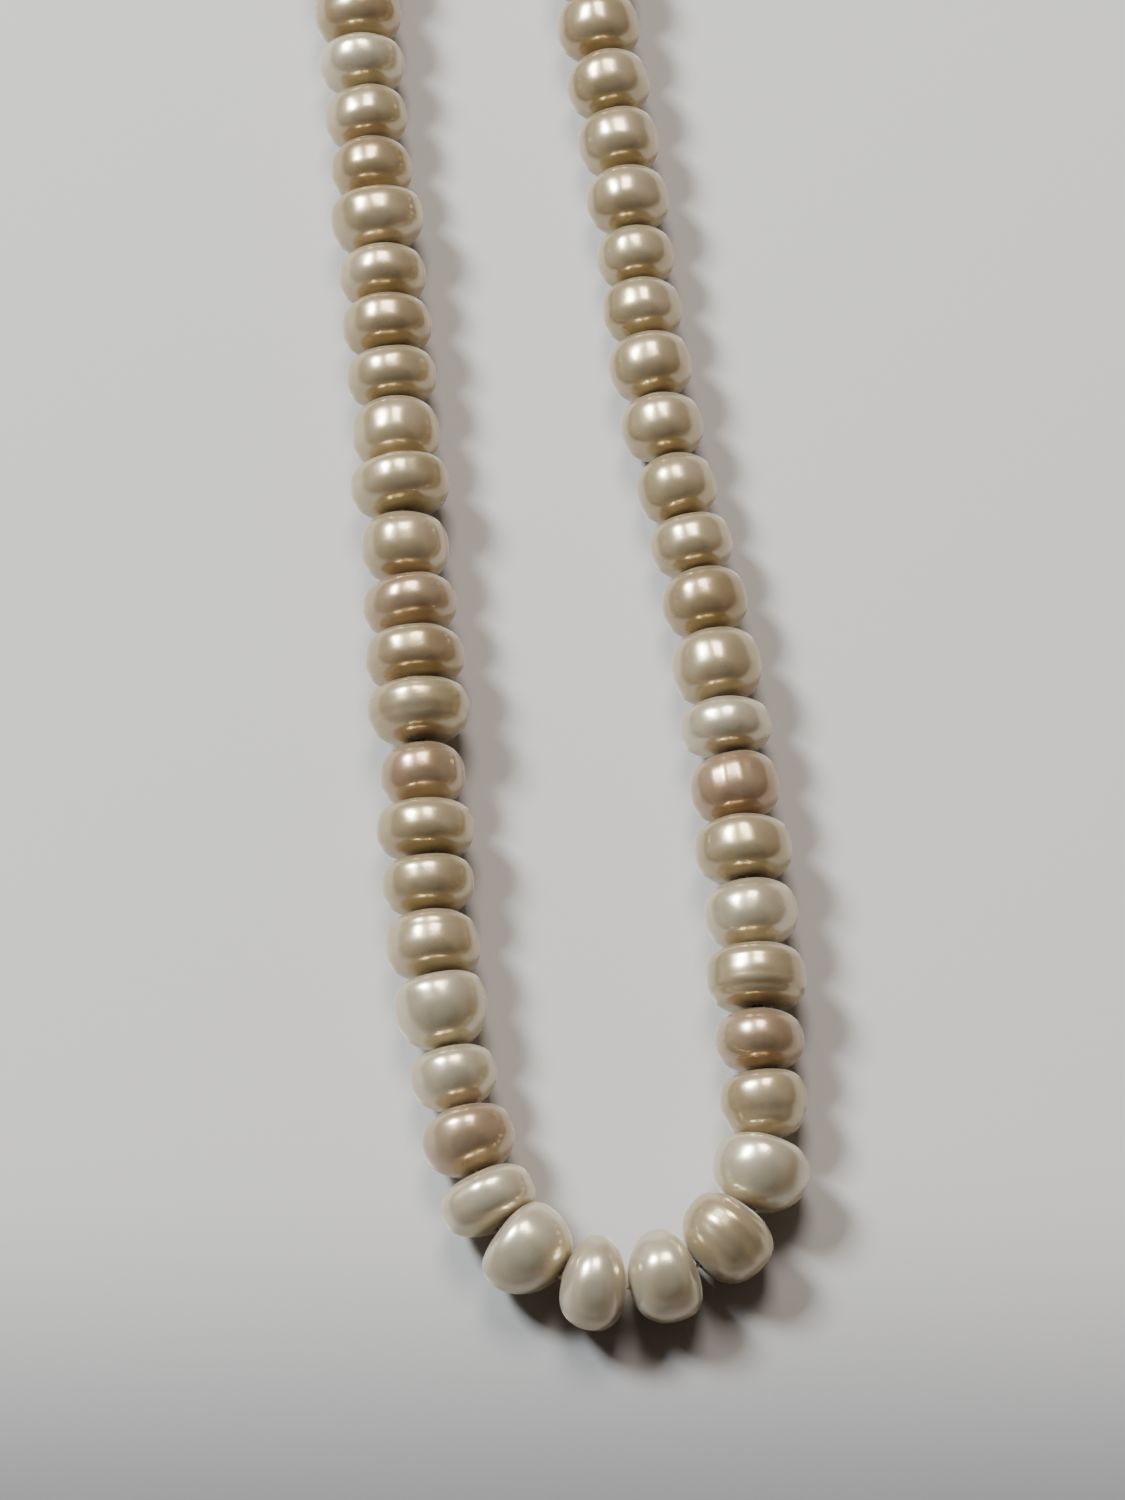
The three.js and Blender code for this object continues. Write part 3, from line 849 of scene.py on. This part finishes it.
TAG_RING_END = 1.7 * MM
TAG_CLAW_END = 2.7 * MM
TAG_LENGTH = 6.2 * MM
TAG_THICKNESS = 0.5 * MM
TAG_RING_HOLE = 0.9 * MM
TAG_CLAW_HOLE = 1.7 * MM
TAG_HEIGHT = 1.5 * MM
TAG_EDGE = 0.14 * MM
TAG_END_STEPS = 56  # mesh steps round an end of the plate
TAG_HOLE_STEPS = 48  # mesh steps round a hole


def ring_offset(height):
    """How far a standing ring's middle is from what it passes through at a height."""
    above = RING_RADIUS + RING_WIRE - height
    return math.sqrt(RING_RADIUS**2 - above**2)


tag_bm = bmesh.new()
lean = math.asin((TAG_CLAW_END - TAG_RING_END) / TAG_LENGTH)
rims = []
for radius, at, kept in ((TAG_RING_END, 0, -1), (TAG_CLAW_END, TAG_LENGTH, 1)):
    made = bmesh.ops.create_circle(tag_bm, segments=TAG_END_STEPS, radius=radius)["verts"]
    beyond = [v for v in made if (v.co.y + radius * math.sin(lean)) * kept < 0]
    rims.append(sorted((v for v in made if v not in beyond), key=lambda v: v.co.x))
    bmesh.ops.translate(tag_bm, verts=made, vec=(0, at, 0))
    bmesh.ops.delete(tag_bm, geom=beyond, context="VERTS")
for end in (0, -1):
    tag_bm.edges.new((rims[0][end], rims[1][end]))
for radius, at in ((TAG_RING_HOLE, 0), (TAG_CLAW_HOLE, TAG_LENGTH)):
    made = bmesh.ops.create_circle(tag_bm, segments=TAG_HOLE_STEPS, radius=radius)["verts"]
    bmesh.ops.translate(tag_bm, verts=made, vec=(0, at, 0))
bmesh.ops.triangle_fill(tag_bm, edges=tag_bm.edges[:], use_beauty=True)
made = bmesh.ops.extrude_face_region(tag_bm, geom=tag_bm.faces[:])["geom"]
upper = [g for g in made if isinstance(g, bmesh.types.BMVert)]
bmesh.ops.translate(tag_bm, verts=upper, vec=(0, 0, TAG_THICKNESS))
bmesh.ops.translate(tag_bm, verts=tag_bm.verts, vec=(0, 0, -TAG_THICKNESS / 2))
bmesh.ops.recalc_face_normals(tag_bm, faces=tag_bm.faces)
bmesh.ops.dissolve_limit(tag_bm, angle_limit=math.radians(1), verts=tag_bm.verts, edges=tag_bm.edges)
bmesh.ops.bevel(
    tag_bm,
    geom=[e for e in tag_bm.edges if e.calc_face_angle(0) > math.radians(60)],
    offset=TAG_EDGE,
    affect="EDGES",
    segments=3,
    profile=0.5,
    material=-1,
)
outwards = tip_directions["left"]
tag_place = ring_centres["left"] + outwards * ring_offset(TAG_HEIGHT)
tag_place.z = TAG_HEIGHT
droop = math.asin((TAG_HEIGHT - TAG_THICKNESS / 2) / (TAG_LENGTH + TAG_CLAW_END))
tag_bm.transform(strand_turn(tag_place, outwards) @ Matrix.Rotation(-droop, 4, "X"))
tag = finished("catch_tag_plate", tag_bm, silver_material)
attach(tag, "catch_tag")
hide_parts("catch_tag")


# Lobster claw
# A cast silver body with a hook, slotted for its lever. The lever turns on a rivet against a folded leaf
# of spring steel. Body and lever are tumbled after casting, which rounds every edge.

CAST_GRAIN = 0.07 * MM
TUMBLING = 26  # passes of smoothing

for node, body in (("claw_body", "claw"), ("claw_lever", "claw_lever")):
    cast_bm = bmesh.new()
    cast_bm.from_mesh(frame["nodes"][node].data)
    bmesh.ops.remove_doubles(cast_bm, verts=cast_bm.verts, dist=0.001 * MM)
    rough = finished("rough_casting", cast_bm, silver_material)
    remesh = rough.modifiers.new("cast", "REMESH")
    remesh.mode = "VOXEL"
    remesh.voxel_size = CAST_GRAIN
    evaluated = rough.evaluated_get(bpy.context.evaluated_depsgraph_get())
    casting_bm = bmesh.new()
    casting_bm.from_mesh(evaluated.to_mesh())
    evaluated.to_mesh_clear()
    bpy.data.objects.remove(rough)
    for _ in range(TUMBLING):
        bmesh.ops.smooth_vert(
            casting_bm,
            verts=casting_bm.verts,
            factor=0.5,
            use_axis_x=True,
            use_axis_y=True,
            use_axis_z=True,
        )
    casting = finished(f"{node}_casting", casting_bm, silver_material)
    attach(casting, body)
    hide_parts(node)


RIVET_RADIUS = 0.3 * MM
RIVET_HEAD = 0.55 * MM
RIVET_HEAD_DEPTH = 0.15 * MM
RIVET_HEAD_ROUNDING = 0.1 * MM
RIVET_STEPS = 32  # mesh steps round the rivet

low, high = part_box("lever_rivet")
half = (high.z - low.z) / 2
rivet_bm = bmesh.new()


def rivet_disc(radius, depth):
    """Adds a round bar, upright about the origin, to the rivet."""
    return bmesh.ops.create_cone(
        rivet_bm,
        cap_ends=True,
        segments=RIVET_STEPS,
        radius1=radius,
        radius2=radius,
        depth=depth,
    )["verts"]


rivet_disc(RIVET_RADIUS, 2 * half - RIVET_HEAD_DEPTH)
for upright in (1, -1):
    made = rivet_disc(RIVET_HEAD, RIVET_HEAD_DEPTH)
    bmesh.ops.translate(rivet_bm, verts=made, vec=(0, 0, upright * (half - RIVET_HEAD_DEPTH / 2)))
    outer_face = half - RIVET_HEAD_DEPTH / 4
    domed = [e for e in edge_loop(made) if all(v.co.z * upright > outer_face for v in e.verts)]
    bmesh.ops.bevel(
        rivet_bm,
        geom=domed,
        offset=RIVET_HEAD_ROUNDING,
        affect="EDGES",
        segments=4,
        profile=0.5,
        material=-1,
    )
bmesh.ops.translate(rivet_bm, verts=rivet_bm.verts, vec=(low + high) / 2)
rivet = finished("lever_rivet_pin", rivet_bm, silver_material)
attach(rivet, "claw")
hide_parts("lever_rivet")

steel_material, tree, shader = material_nodes("spring_steel")
rolled = ramp_node(
    tree,
    noise_node(tree, scale=3000, detail=4, roughness=0.6),
    (0.35, (0.30, 0.30, 0.31, 1)),
    (0.65, (0.46, 0.46, 0.47, 1)),
)
tree.links.new(rolled, shader.inputs["Base Color"])
rolling = bump_node(tree, noise_node(tree, scale=6000, detail=3), distance=0.01 * MM, strength=0.4)
tree.links.new(rolling, shader.inputs["Normal"])
shader.inputs["Metallic"].default_value = 1.0
shader.inputs["Roughness"].default_value = 0.38
frame["nodes"]["lever_spring"].data.materials[0] = steel_material
